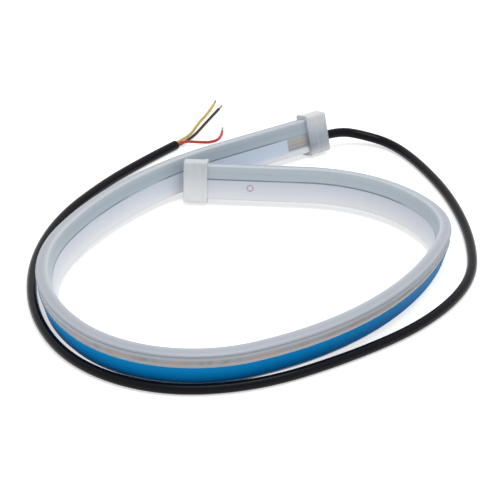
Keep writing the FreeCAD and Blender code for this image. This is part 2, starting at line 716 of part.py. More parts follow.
def check_document():
    """Stops when an object failed or a sub-part has no valid solid."""
    DOC.recompute()
    for item in DOC.Objects:
        if "Invalid" in item.State or "Error" in item.State:
            raise RuntimeError("%s failed: %s" % (item.Name, item.State))
    for piece in PIECES:
        if piece.Shape.isNull() or not piece.Shape.isValid() or not piece.Shape.Solids:
            raise RuntimeError("%s has no valid solid" % piece.Label)


def write_pieces():
    """Writes each sub-part to its own file."""
    os.makedirs("parts", exist_ok=True)
    for piece in PIECES:
        piece.Shape.exportStep("parts/%s.step" % piece.Label)
        print("%-20s %d solids, volume %.1f" % (piece.Label, len(piece.Shape.Solids), piece.Shape.Volume))


make_long_pieces()
make_chips()
make_solder()
make_leads()
make_plugs()
make_caps()
make_cable()
check_document()
write_pieces()
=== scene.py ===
"""Dresses the rolled LED light strip: silicone, end caps, adhesive back, cable, cores and a white studio."""
import logging
import math
from dataclasses import dataclass, field
from enum import Enum
from typing import Protocol

import bmesh
import bpy
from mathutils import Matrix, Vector


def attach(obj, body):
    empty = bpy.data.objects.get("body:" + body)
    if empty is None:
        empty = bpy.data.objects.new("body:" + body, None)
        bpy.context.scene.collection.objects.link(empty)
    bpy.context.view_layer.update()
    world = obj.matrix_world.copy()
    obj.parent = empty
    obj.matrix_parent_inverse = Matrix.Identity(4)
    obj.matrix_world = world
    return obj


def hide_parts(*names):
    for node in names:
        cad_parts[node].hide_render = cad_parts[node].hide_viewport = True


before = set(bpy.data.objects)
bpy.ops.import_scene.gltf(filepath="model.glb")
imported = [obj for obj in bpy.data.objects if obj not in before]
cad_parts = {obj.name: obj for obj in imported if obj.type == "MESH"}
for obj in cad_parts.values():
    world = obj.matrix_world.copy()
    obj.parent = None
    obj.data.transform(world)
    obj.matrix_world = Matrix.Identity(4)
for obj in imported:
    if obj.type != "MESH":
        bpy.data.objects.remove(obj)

LOG = logging.getLogger("light_strip")
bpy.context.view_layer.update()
BODY = "root"
MM = 0.001
SHARP_ANGLE = math.radians(40)

Colour = tuple[float, float, float]
Socket = bpy.types.NodeSocket


def srgb(red: int, green: int, blue: int) -> Colour:
    """Turns a screen colour into the linear one that a shader takes.

    Args:
        red: Red from 0 to 255.
        green: Green from 0 to 255.
        blue: Blue from 0 to 255.

    Returns:
        The colour as linear light.
    """
    shares = [part / 255 for part in (red, green, blue)]
    return tuple(part / 12.92 if part <= 0.04045 else ((part + 0.055) / 1.055) ** 2.4 for part in shares)


class Stiffness(Enum):
    """How readily a cord bends."""

    LIMP = "limp"
    MEDIUM = "medium"


@dataclass(frozen=True)
class Tint:
    """A colour that is laid over another, and its greatest share."""

    colour: Colour
    share: float


class Shader:
    """A material in the making, with one Principled surface."""

    def __init__(self, name: str) -> None:
        """Starts a material.

        Args:
            name: Name of the material.
        """
        self.material = bpy.data.materials.new(name)
        self.material.use_nodes = True
        self.nodes = self.material.node_tree.nodes
        self.links = self.material.node_tree.links
        self.surface = self.nodes["Principled BSDF"]

    def set(self, **sockets: float) -> None:
        """Sets constant sockets of the surface, with underscores for the spaces in their names."""
        for name, number in sockets.items():
            self.surface.inputs[name.replace("_", " ")].default_value = number

    def feed(self, name: str, source: Socket) -> None:
        """Links a source to a socket of the surface."""
        self.links.new(source, self.surface.inputs[name])

    def wire(self, node: bpy.types.Node, index: int | str, source: Socket | float | Colour) -> None:
        """Links a source to a node's input, or sets a constant there.

        Args:
            node: The node.
            index: Number or name of the input.
            source: A socket, a number or a colour.
        """
        if isinstance(source, bpy.types.NodeSocket):
            self.links.new(source, node.inputs[index])
        elif isinstance(source, tuple):
            node.inputs[index].default_value = (*source, 1.0)
        else:
            node.inputs[index].default_value = source

    def attribute(self, name: str) -> Socket:
        """Reads a number that is stored on the mesh.

        Args:
            name: Name of the attribute.

        Returns:
            The number as a socket.
        """
        node = self.nodes.new("ShaderNodeAttribute")
        node.attribute_name = name
        return node.outputs["Fac"]

    def math(self, operation: str, *terms: Socket | float) -> Socket:
        """Works out a number.

        Args:
            operation: Name of Blender's operation.
            terms: Its one to three terms.

        Returns:
            The result.
        """
        node = self.nodes.new("ShaderNodeMath")
        node.operation = operation
        for index, term in enumerate(terms):
            self.wire(node, index, term)
        return node.outputs[0]

    def step(self, value: Socket, start: float, stop: float) -> Socket:
        """A soft step from 0 at start to 1 at stop.

        Args:
            value: What is tested.
            start: Where the step begins.
            stop: Where it ends, above or below the start.

        Returns:
            The step, from 0 to 1.
        """
        node = self.nodes.new("ShaderNodeMapRange")
        node.interpolation_type = "SMOOTHSTEP"
        self.wire(node, "Value", value)
        rising = start < stop
        node.inputs["From Min"].default_value = min(start, stop)
        node.inputs["From Max"].default_value = max(start, stop)
        node.inputs["To Min"].default_value = 0.0 if rising else 1.0
        node.inputs["To Max"].default_value = 1.0 if rising else 0.0
        return node.outputs["Result"]

    def band(self, value: Socket, low: float, high: float, blur: float) -> Socket:
        """A soft band between two values.

        Args:
            value: What is tested.
            low: Lower edge.
            high: Upper edge.
            blur: Width of each soft edge.

        Returns:
            1 inside the band and 0 outside.
        """
        rise = self.step(value, low - blur / 2, low + blur / 2)
        fall = self.step(value, high + blur / 2, high - blur / 2)
        return self.math("MULTIPLY", rise, fall)

    def ramp(self, value: Socket, stops: list[tuple[float, Colour]]) -> Socket:
        """Colours along a number.

        Args:
            value: Where on the ramp, from 0 to 1.
            stops: Places and colours, in order.

        Returns:
            The colour.
        """
        node = self.nodes.new("ShaderNodeValToRGB")
        self.wire(node, 0, value)
        elements = node.color_ramp.elements
        elements.remove(elements[1])
        for number, (place, colour) in enumerate(stops):
            element = elements[0] if number == 0 else elements.new(place)
            element.position = place
            element.color = (*colour, 1.0)
        return node.outputs["Color"]

    def mix(self, share: Socket | float, first: Socket | Colour, second: Socket | Colour) -> Socket:
        """Mixes two colours.

        Args:
            share: Share of the second colour.
            first: First colour.
            second: Second colour.

        Returns:
            The mixed colour.
        """
        node = self.nodes.new("ShaderNodeMix")
        node.data_type = "RGBA"
        self.wire(node, 0, share)
        self.wire(node, 6, first)
        self.wire(node, 7, second)
        return node.outputs[2]

    def tint(self, colour: Socket, tint: Tint, *masks: Socket) -> Socket:
        """Lays a tint over a colour where all the masks are 1.

        Args:
            colour: The colour below.
            tint: The tint.
            masks: Where it lies, each from 0 to 1.

        Returns:
            The tinted colour.
        """
        share = tint.share
        for mask in masks:
            share = self.math("MULTIPLY", mask, share)
        return self.mix(share, colour, tint.colour)

    def noise(self, scale: float, detail: float, vector: Socket | None = None) -> Socket:
        """A soft noise.

        Args:
            scale: Waves in each metre.
            detail: Number of finer layers.
            vector: Where it is read, or the object's own coordinates.

        Returns:
            The noise, from 0 to 1.
        """
        node = self.nodes.new("ShaderNodeTexNoise")
        node.inputs["Scale"].default_value = scale
        node.inputs["Detail"].default_value = detail
        if vector is None:
            vector = self.place()
        self.links.new(vector, node.inputs["Vector"])
        return node.outputs["Fac"]

    def place(self) -> Socket:
        """The object's own coordinates."""
        return self.nodes.new("ShaderNodeTexCoord").outputs["Object"]

    def parts(self, vector: Socket) -> tuple[Socket, Socket, Socket]:
        """Takes coordinates apart.

        Args:
            vector: The coordinates.

        Returns:
            Their three numbers.
        """
        node = self.nodes.new("ShaderNodeSeparateXYZ")
        self.links.new(vector, node.inputs[0])
        return tuple(node.outputs)

    def vector(self, x: Socket | float, y: Socket | float, z: Socket | float) -> Socket:
        """Puts three numbers together as coordinates.

        Args:
            x: First number.
            y: Second number.
            z: Third number.

        Returns:
            The coordinates.
        """
        node = self.nodes.new("ShaderNodeCombineXYZ")
        for index, part in enumerate((x, y, z)):
            self.wire(node, index, part)
        return node.outputs[0]

    def bump(self, height: Socket, distance: float, strength: float = 1.0) -> None:
        """Raises the surface by a height.

        Args:
            height: Height from 0 to 1.
            distance: What a height of 1 stands for, in metres.
            strength: Share of the effect.
        """
        node = self.nodes.new("ShaderNodeBump")
        node.inputs["Distance"].default_value = distance
        node.inputs["Strength"].default_value = strength
        self.links.new(height, node.inputs["Height"])
        self.feed("Normal", node.outputs["Normal"])


class Finish(Protocol):
    """Anything that can make a material."""

    def make(self) -> bpy.types.Material:
        """Builds the material."""


@dataclass(frozen=True)
class LeadSeen:
    """A lead that shows through the front wall, with its heights at the cable and at the board."""

    tint: Tint
    exit_height: float
    pad_height: float
    width: float
    blur: float = 1.3


@dataclass(frozen=True)
class SiliconeFinish:
    """Milky silicone with a grey diffuser above and a white board behind its lower wall, in millimetres."""

    height: float
    thickness: float
    crease: float
    corner: tuple[float, float] = (2.2, 2.7)
    streak_along: float = 0.02
    streak_across: float = 1.3
    dull: Tint = Tint(srgb(150, 160, 170), 0.14)
    dull_streaks: tuple[float, float] = (0.45, 0.75)
    dull_rise: tuple[float, float] = (8.0, 11.0)
    cool: Tint = Tint(srgb(190, 209, 229), 0.6)
    cool_along: tuple[float, float] = (120.0, 40.0)
    cool_rise: tuple[float, float, float] = (2.5, 8.6, 2.0)
    pale: Tint = Tint(srgb(190, 199, 208), 0.5)
    pale_along: tuple[float, float] = (400.0, 520.0)
    pale_rise: tuple[float, float] = (9.2, 10.4)
    # Painted shade in the crease, which comes and goes along the strip.
    crease_shade: Tint = Tint(srgb(110, 124, 136), 0.85)
    crease_shade_low: float = 0.25
    crease_shade_high: float = 0.35
    crease_shade_blur: float = 0.3
    crease_shade_waves: float = 0.022
    crease_shade_gaps: tuple[float, float] = (0.36, 0.52)
    window: Tint = Tint(srgb(168, 167, 163), 0.85)
    window_along: tuple[float, float, float] = (-5.0, 22.0, 0.5)
    window_foot: float = 3.2
    window_drop: float = 0.2
    window_blur: float = 1.2
    lead_along: tuple[float, float] = (6.0, 15.0)
    leads_seen: tuple[LeadSeen, ...] = (
        LeadSeen(Tint(srgb(174, 170, 148), 0.7), 6.4, 7.4, 1.3),
        LeadSeen(Tint(srgb(168, 148, 146), 0.7), 5.4, 5.6, 1.1),
        LeadSeen(Tint(srgb(132, 128, 130), 0.7), 4.6, 3.9, 0.8),
    )
    cap_shade: Tint = Tint(srgb(132, 141, 145), 0.7)
    cap_shade_along: tuple[float, float] = (15.0, 9.5)
    ring: Tint = Tint(srgb(170, 135, 148), 0.85)
    ring_along: float = 570.3
    ring_rise: float = 5.9
    ring_band: tuple[float, float, float] = (1.1, 1.6, 0.4)
    lamp_white: Colour = srgb(138, 143, 141)
    lamp_amber: Colour = srgb(186, 160, 148)
    lamp_share: float = 0.75
    lamp_rise: tuple[float, float, float] = (11.4, 13.7, 0.7)
    lamp_waves: float = 0.16
    lamp_gaps: tuple[float, float] = (0.44, 0.56)
    amber_waves: float = 0.05
    amber_row: float = 7.0
    amber_gaps: tuple[float, float] = (0.42, 0.58)

    def make(self) -> bpy.types.Material:
        """Builds the material from the numbers that the sweep keeps on the strip.

        Returns:
            The material.
        """
        shader = Shader("milky_silicone")
        rise = shader.attribute("rise")
        depth = shader.attribute("depth")
        along = shader.attribute("along")
        flow = shader.vector(shader.math("MULTIPLY", along, self.streak_along),
                             shader.math("MULTIPLY", rise, self.streak_across),
                             shader.math("MULTIPLY", depth, self.streak_across))
        streaks = shader.noise(1.0, 3.0, flow)
        front = shader.step(depth, -self.corner[0], -self.corner[1])
        back = shader.step(depth, *self.corner)
        colour = shader.mix(front, self.top_colour(shader, depth), self.front_colour(shader, rise, along))
        colour = shader.mix(back, colour, self.back_colour(shader, rise, along))
        colour = shader.tint(colour, self.dull, shader.step(streaks, *self.dull_streaks),
                             shader.step(rise, *self.dull_rise))
        shader.feed("Base Color", colour)
        shader.set(Roughness=0.4, Subsurface_Weight=0.1, Subsurface_Scale=0.002)
        shader.bump(streaks, 0.0001, 0.5)
        return shader.material

    def upright(self, shader: Shader, rise: Socket, stops: list[tuple[float, Colour]]) -> Socket:
        """Colours up a face.

        Args:
            shader: The material in the making.
            rise: Height on the face.
            stops: Heights above the foot and their colours.

        Returns:
            The colour.
        """
        share = shader.math("DIVIDE", rise, self.height)
        return shader.ramp(share, [(place / self.height, colour) for place, colour in stops])

    def drift(self, shader: Shader, along: Socket, waves: float, detail: float, row: float = 0.0) -> Socket:
        """A noise that changes only along the strip.

        Args:
            shader: The material in the making.
            along: Distance from the cable end.
            waves: Waves in each millimetre.
            detail: Number of finer layers.
            row: Which of the many such noises.

        Returns:
            The noise, from 0 to 1.
        """
        place = shader.vector(shader.math("MULTIPLY", along, waves), row, 0.0)
        return shader.noise(1.0, detail, place)

    def top_colour(self, shader: Shader, depth: Socket) -> Socket:
        """Colours of the upper edge, from its inner to its outer corner, with a painted highlight at the
        inner corner and painted shade at the outer corner.

        Args:
            shader: The material in the making.
            depth: Place across the edge, from the middle.

        Returns:
            The colour.
        """
        share = shader.math("MULTIPLY_ADD", depth, 1 / self.thickness, 0.5)
        return shader.ramp(share, [
            # Painted highlight at the inner corner.
            (0.0, srgb(198, 206, 212)),
            (0.14, srgb(186, 192, 200)),
            (0.32, srgb(173, 179, 188)),
            (0.58, srgb(167, 173, 183)),
            (0.78, srgb(178, 182, 191)),
            (0.9, srgb(165, 171, 181)),
            # Painted shade at the outer corner.
            (1.0, srgb(146, 154, 165)),
        ])

    def front_colour(self, shader: Shader, rise: Socket, along: Socket) -> Socket:
        """Colours of the inner face: board zone, diffuser, leads and the inspection ring, with painted shade
        in the crease and a painted highlight along the top edge.

        Args:
            shader: The material in the making.
            rise: Height on the face.
            along: Distance from the cable end.

        Returns:
            The colour.
        """
        colour = self.upright(shader, rise, [
            (0.0, srgb(232, 234, 237)),
            (1.9, srgb(228, 231, 235)),
            (5.0, srgb(215, 219, 228)),
            (8.5, srgb(203, 209, 220)),
            (10.0, srgb(170, 182, 192)),
            (12.8, srgb(163, 176, 186)),
            (14.9, srgb(174, 184, 192)),
            # Painted highlight along the top edge.
            (15.7, srgb(195, 204, 211)),
        ])
        colour = shader.tint(colour, self.cool, shader.step(along, *self.cool_along),
                             shader.band(rise, *self.cool_rise))
        colour = shader.tint(colour, self.pale, shader.step(along, *self.pale_along),
                             shader.step(rise, *self.pale_rise))
        # Painted shade in the crease, broken up along the strip.
        crease_shade = shader.band(rise, self.crease - self.crease_shade_low, self.crease + self.crease_shade_high,
                             self.crease_shade_blur)
        drift = self.drift(shader, along, self.crease_shade_waves, 1.0)
        colour = shader.tint(colour, self.crease_shade, crease_shade, shader.step(drift, *self.crease_shade_gaps))
        colour = self.lead_colours(shader, colour, rise, along)
        reach = shader.math("SUBTRACT", along, self.ring_along)
        lift = shader.math("SUBTRACT", rise, self.ring_rise)
        square = shader.math("MULTIPLY_ADD", reach, reach, shader.math("MULTIPLY", lift, lift))
        return shader.tint(colour, self.ring, shader.band(shader.math("SQRT", square), *self.ring_band))

    def lead_colours(self, shader: Shader, colour: Socket, rise: Socket, along: Socket) -> Socket:
        """Adds the three leads that show through the wall between the cable and the board.

        Args:
            shader: The material in the making.
            colour: Colour of the face without them.
            rise: Height on the face.
            along: Distance from the cable end.

        Returns:
            The colour with the leads.
        """
        gap = shader.band(along, *self.window_along)
        window = shader.band(rise, self.window_foot, self.crease - self.window_drop, self.window_blur)
        colour = shader.tint(colour, self.window, gap, window)
        spread = shader.step(along, *self.lead_along)
        for lead in self.leads_seen:
            climb = lead.pad_height - lead.exit_height
            middle = shader.math("MULTIPLY_ADD", spread, climb, lead.exit_height)
            above = shader.math("SUBTRACT", rise, middle)
            stripe = shader.band(above, -lead.width / 2, lead.width / 2, lead.blur)
            colour = shader.tint(colour, lead.tint, gap, stripe)
        return shader.tint(colour, self.cap_shade, gap, window, shader.step(along, *self.cap_shade_along))

    def back_colour(self, shader: Shader, rise: Socket, along: Socket) -> Socket:
        """Colours of the outer face, where the lamps glimmer through above the tape, with painted shade
        along its top corner.

        Args:
            shader: The material in the making.
            rise: Height on the face.
            along: Distance from the cable end.

        Returns:
            The colour.
        """
        colour = self.upright(shader, rise, [
            (0.0, srgb(200, 203, 207)),
            (10.4, srgb(206, 206, 205)),
            (11.0, srgb(212, 209, 206)),
            (11.5, srgb(168, 165, 164)),
            (13.2, srgb(160, 161, 164)),
            (14.1, srgb(180, 184, 192)),
            (15.1, srgb(175, 181, 190)),
            # Painted shade along the top corner.
            (15.5, srgb(124, 134, 148)),
            (15.9, srgb(162, 170, 181)),
        ])
        lamps = shader.step(self.drift(shader, along, self.lamp_waves, 2.0), *self.lamp_gaps)
        lamps = shader.math("MULTIPLY", lamps, shader.band(rise, *self.lamp_rise))
        amber = self.drift(shader, along, self.amber_waves, 0.0, self.amber_row)
        glimmer = shader.mix(shader.step(amber, *self.amber_gaps), self.lamp_white, self.lamp_amber)
        return shader.mix(shader.math("MULTIPLY", lamps, self.lamp_share), colour, glimmer)


@dataclass(frozen=True)
class CapFinish:
    """Moulded milky silicone of an end cap, a little cloudy, with what is inside showing faintly."""

    name: str
    shades: tuple[tuple[float, Colour], ...]
    height: float = 21.0
    cloud: Tint = Tint(srgb(232, 235, 236), 0.22)
    cloud_scale: float = 150.0
    cloud_range: tuple[float, float] = (0.4, 0.7)
    streak_share: float = 0.4
    streak_across: float = 600.0
    streak_along: float = 40.0

    def make(self) -> bpy.types.Material:
        """Builds the material from its shades, which go by the height above the floor in millimetres.

        Returns:
            The material.
        """
        shader = Shader(self.name)
        x, y, z = shader.parts(shader.place())
        share = shader.math("DIVIDE", z, self.height * MM)
        colour = shader.ramp(share, [(place / self.height, shade) for place, shade in self.shades])
        upright = shader.vector(shader.math("MULTIPLY", x, self.streak_across),
                                shader.math("MULTIPLY", y, self.streak_across),
                                shader.math("MULTIPLY", z, self.streak_along))
        streaks = shader.noise(1.0, 2.0, upright)
        cloud = shader.math("MULTIPLY_ADD", shader.noise(self.cloud_scale, 3.0), 1 - self.streak_share,
                            shader.math("MULTIPLY", streaks, self.streak_share))
        colour = shader.tint(colour, self.cloud, shader.step(cloud, *self.cloud_range))
        shader.feed("Base Color", colour)
        shader.set(Roughness=0.42, Subsurface_Weight=0.12, Subsurface_Scale=0.003)
        shader.bump(streaks, 0.00006, 0.25)
        return shader.material


FREE_CAP = CapFinish("free_cap_silicone", (
    (1.5, srgb(238, 238, 238)),
    (5.0, srgb(230, 230, 230)),
    (9.0, srgb(222, 225, 226)),
    (12.0, srgb(213, 216, 220)),
    (15.0, srgb(203, 207, 212)),
    (19.0, srgb(194, 203, 208)),
))
CABLE_CAP = CapFinish("cable_cap_silicone", (
    (1.0, srgb(230, 230, 230)),
    (3.2, srgb(205, 206, 208)),
    (5.0, srgb(168, 170, 174)),
    (7.0, srgb(146, 153, 166)),
    (9.5, srgb(153, 163, 175)),
    (12.5, srgb(174, 183, 190)),
    (15.5, srgb(190, 195, 202)),
    (19.0, srgb(204, 207, 209)),
))


@dataclass(frozen=True)
class FilmFinish:
    """Blue film that covers the adhesive, darker towards the foot as painted shade."""

    upper: Colour = srgb(10, 136, 204)
    lower: Colour = srgb(4, 112, 180)
    foot: float = 0.0036
    top: float = 0.0117
    scuff: Tint = Tint(srgb(30, 142, 206), 0.2)
    scuff_scale: float = 45.0
    scuff_range: tuple[float, float] = (0.5, 0.75)
    wave_scale: float = 140.0

    def make(self) -> bpy.types.Material:
        """Builds the material with faint waves in a smooth film.

        Returns:
            The material.
        """
        shader = Shader("blue_film")
        height = shader.parts(shader.place())[2]
        # Painted shade: the film darkens from its top towards the foot.
        colour = shader.mix(shader.step(height, self.foot, self.top), self.lower, self.upper)
        scuffs = shader.step(shader.noise(self.scuff_scale, 4.0), *self.scuff_range)
        shader.feed("Base Color", shader.tint(colour, self.scuff, scuffs))
        shader.set(Roughness=0.45, Specular_IOR_Level=0.03)
        shader.bump(shader.noise(self.wave_scale, 2.0), 0.0002, 0.25)
        return shader.material


@dataclass(frozen=True)
class PlainFinish:
    """A moulded or extruded material with a grain and slight cloudiness."""

    name: str
    dark: Colour
    light: Colour
    roughness: float
    metallic: float = 0.0
    specular: float = 0.5
    cloud: float = 220.0
    grain: float = 1500.0
    relief: float = 0.00003

    def make(self) -> bpy.types.Material:
        """Builds the material.

        Returns:
            The material.
        """
        shader = Shader(self.name)
        shader.feed("Base Color", shader.mix(shader.noise(self.cloud, 3.0), self.dark, self.light))
        shader.set(Roughness=self.roughness, Metallic=self.metallic, Specular_IOR_Level=self.specular)
        shader.bump(shader.noise(self.grain, 2.0), self.relief, 0.5)
        return shader.material


JACKET = PlainFinish("black_jacket", srgb(8, 8, 14), srgb(11, 11, 18), 0.22, specular=0.12, grain=900.0)
YELLOW = PlainFinish("yellow_core", srgb(190, 164, 66), srgb(210, 186, 90), 0.4)
RED = PlainFinish("red_core", srgb(172, 40, 30), srgb(192, 56, 42), 0.4)
BLACK = PlainFinish("black_core", srgb(22, 20, 24), srgb(32, 30, 34), 0.4, specular=0.2)
TINNED = PlainFinish("tinned_strands", srgb(140, 138, 136), srgb(182, 180, 176), 0.35, metallic=1.0)
FOAM = PlainFinish("white_foam", srgb(214, 216, 218), srgb(228, 229, 230), 0.8, grain=4000.0, relief=0.00006)
BOARD = PlainFinish("white_board", srgb(226, 228, 230), srgb(236, 237, 238), 0.5)
SEALANT = PlainFinish("clear_sealant", srgb(206, 209, 212), srgb(220, 222, 224), 0.3)
SOLDER = PlainFinish("bright_solder", srgb(182, 184, 186), srgb(206, 207, 208), 0.3, metallic=1.0)
CHIP = PlainFinish("resistor_black", srgb(24, 24, 25), srgb(34, 34, 35), 0.5)
WHITE_LAMP = PlainFinish("white_lamp", srgb(232, 214, 110), srgb(240, 226, 140), 0.3)
AMBER_LAMP = PlainFinish("amber_lamp", srgb(214, 120, 36), srgb(230, 146, 60), 0.3)


def settle(piece: bpy.types.Object, slot: str, *nodes: str) -> bpy.types.Object:
    """Puts a finished piece on the object's body in place of its solids.

    Args:
        piece: The finished piece.
        slot: Material slot of the record; not used.
        nodes: Solids that the piece stands for.

    Returns:
        The piece.
    """
    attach(piece, BODY)
    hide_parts(*nodes)
    LOG.info("made %s", piece.name)
    return piece


def link(name: str, data: bpy.types.ID) -> bpy.types.Object:
    """Puts new data into the scene as an object.

    Args:
        name: Name of the object.
        data: Its mesh, curve, lamp or camera.

    Returns:
        The object.
    """
    piece = bpy.data.objects.new(name, data)
    bpy.context.scene.collection.objects.link(piece)
    return piece


@dataclass(frozen=True)
class Bend:
    """A bend to the left on the base line."""

    radius: float
    angle: float


@dataclass
class RollLine:
    """The line that the strip's foot follows, from its cable end to its free end."""

    start: tuple[float, float] = (0.037210, 0.108391)
    heading: float = math.radians(214.1)
    level: float = 0.002567
    cable_run: float = 0.058656
    free_run: float = 0.055561
    bends: tuple[Bend, ...] = (
        Bend(0.177984, math.radians(34.6)),
        Bend(0.082057, math.radians(60.4)),
        Bend(0.055845, math.radians(74.7)),
        Bend(0.144135, math.radians(50.0)),
        Bend(0.037821, math.radians(44.5)),
        Bend(0.064277, math.radians(56.9)),
    )
    spacing: float = 0.002

    def points(self) -> list[Vector]:
        """Points along the line, as close together as the spacing asks.

        Returns:
            The points, from the cable end.
        """
        heading = self.heading
        line = [Vector((*self.start, self.level))]
        line += self.straight(line[0], heading, self.cable_run)
        for bend in self.bends:
            steps = math.ceil(bend.radius * bend.angle / self.spacing)
            centre = line[-1] + Vector((-math.sin(heading), math.cos(heading), 0)) * bend.radius
            for step in range(1, steps + 1):
                turned = heading + bend.angle * step / steps
                line.append(centre + Vector((math.sin(turned), -math.cos(turned), 0)) * bend.radius)
            heading += bend.angle
        line += self.straight(line[-1], heading, self.free_run)
        return line

    def straight(self, start: Vector, heading: float, length: float) -> list[Vector]:
        """Points of a straight run after its start.

        Args:
            start: Where the run begins.
            heading: Its direction.
            length: Its length.

        Returns:
            The points up to its end.
        """
        steps = math.ceil(length / self.spacing)
        ahead = Vector((math.cos(heading), math.sin(heading), 0))
        return [start + ahead * (length * step / steps) for step in range(1, steps + 1)]


class NodeTree:
    """A geometry node tree in the making, with named inputs."""

    def __init__(self, name: str, **inputs: str) -> None:
        """Starts a tree that takes a line and some named inputs.

        Args:
            name: Name of the tree.
            inputs: Kind of socket of each input, by its name.
        """
        self.tree = bpy.data.node_groups.new(name, "GeometryNodeTree")
        interface = self.tree.interface
        interface.new_socket("Line", in_out="INPUT", socket_type="NodeSocketGeometry")
        self.identifiers = {}
        for label, kind in inputs.items():
            socket = interface.new_socket(label, in_out="INPUT", socket_type="NodeSocket" + kind)
            self.identifiers[label] = socket.identifier
        interface.new_socket("Mesh", in_out="OUTPUT", socket_type="NodeSocketGeometry")
        self.source = self.add("NodeGroupInput").outputs

    def add(self, kind: str) -> bpy.types.Node:
        """Adds a node to the tree."""
        return self.tree.nodes.new(kind)

    def join(self, source: Socket, target: Socket) -> None:
        """Links two sockets."""
        self.tree.links.new(source, target)

    def math(self, operation: str, *terms: Socket | float) -> Socket:
        """Works out a number.

        Args:
            operation: Name of Blender's operation.
            terms: Its terms.

        Returns:
            The result.
        """
        node = self.add("ShaderNodeMath")
        node.operation = operation
        for index, term in enumerate(terms):
            if isinstance(term, bpy.types.NodeSocket):
                self.join(term, node.inputs[index])
            else:
                node.inputs[index].default_value = term
        return node.outputs[0]

    def finish(self, mesh: Socket) -> None:
        """Ends the tree with real geometry in its material.

        Args:
            mesh: The mesh that the tree has made.
        """
        real = self.add("GeometryNodeRealizeInstances")
        self.join(mesh, real.inputs["Geometry"])
        paint = self.add("GeometryNodeSetMaterial")
        self.join(real.outputs["Geometry"], paint.inputs["Geometry"])
        self.join(self.source["Finish"], paint.inputs["Material"])
        self.join(paint.outputs["Geometry"], self.add("NodeGroupOutput").inputs["Mesh"])

    def apply(self, line: bpy.types.Object, name: str, **values: object) -> bpy.types.Object:
        """Runs the tree on a line and keeps the result as a plain mesh.

        Args:
            line: Curve object that the tree runs on, which is used up.
            name: Name of the new object.
            values: Values of the tree's inputs, by their names.

        Returns:
            The mesh object.
        """
        modifier = line.modifiers.new(self.tree.name, "NODES")
        modifier.node_group = self.tree
        for label, number in values.items():
            modifier[self.identifiers[label]] = number
        return frozen(line, name)


class SweepTree(NodeTree):
    """Sweeps a section along a line and keeps its lean."""

    def __init__(self) -> None:
        """Builds the tree."""
        super().__init__("strip_sweep", Section="Object", Lean="Float", Finish="Material")
        parameter = self.add("GeometryNodeSplineParameter")
        line = self.stored(self.source["Line"], "along", parameter.outputs["Length"])
        normal = self.add("GeometryNodeSetCurveNormal")
        normal.mode = "Z_UP"
        self.join(line, normal.inputs["Curve"])
        sweep = self.add("GeometryNodeCurveToMesh")
        sweep.inputs["Fill Caps"].default_value = True
        self.join(normal.outputs["Curve"], sweep.inputs["Curve"])
        self.join(self.leaning(), sweep.inputs["Profile Curve"])
        self.finish(sweep.outputs["Mesh"])

    def leaning(self) -> Socket:
        """The section turned up the strip's face and leaned, with its two numbers kept on it.

        Returns:
            The section's curve.
        """
        info = self.add("GeometryNodeObjectInfo")
        self.join(self.source["Section"], info.inputs["Object"])
        parts = self.add("ShaderNodeSeparateXYZ")
        self.join(self.add("GeometryNodeInputPosition").outputs[0], parts.inputs[0])
        section = self.stored(info.outputs["Geometry"], "depth", parts.outputs["X"])
        section = self.stored(section, "rise", parts.outputs["Y"])
        turn = self.add("ShaderNodeCombineXYZ")
        turn.inputs["X"].default_value = math.pi
        self.join(self.source["Lean"], turn.inputs["Z"])
        leaning = self.add("GeometryNodeTransform")
        self.join(section, leaning.inputs["Geometry"])
        self.join(turn.outputs[0], leaning.inputs["Rotation"])
        return leaning.outputs["Geometry"]

    def stored(self, geometry: Socket, name: str, number: Socket) -> Socket:
        """Keeps a number of metres on the geometry, in millimetres.

        Args:
            geometry: What the number is kept on.
            name: Name of the attribute.
            number: The number in metres.

        Returns:
            The geometry with the attribute.
        """
        store = self.add("GeometryNodeStoreNamedAttribute")
        store.data_type = "FLOAT"
        store.domain = "POINT"
        store.inputs["Name"].default_value = name
        self.join(geometry, store.inputs["Geometry"])
        self.join(self.math("MULTIPLY", number, 1 / MM), store.inputs["Value"])
        return store.outputs["Geometry"]


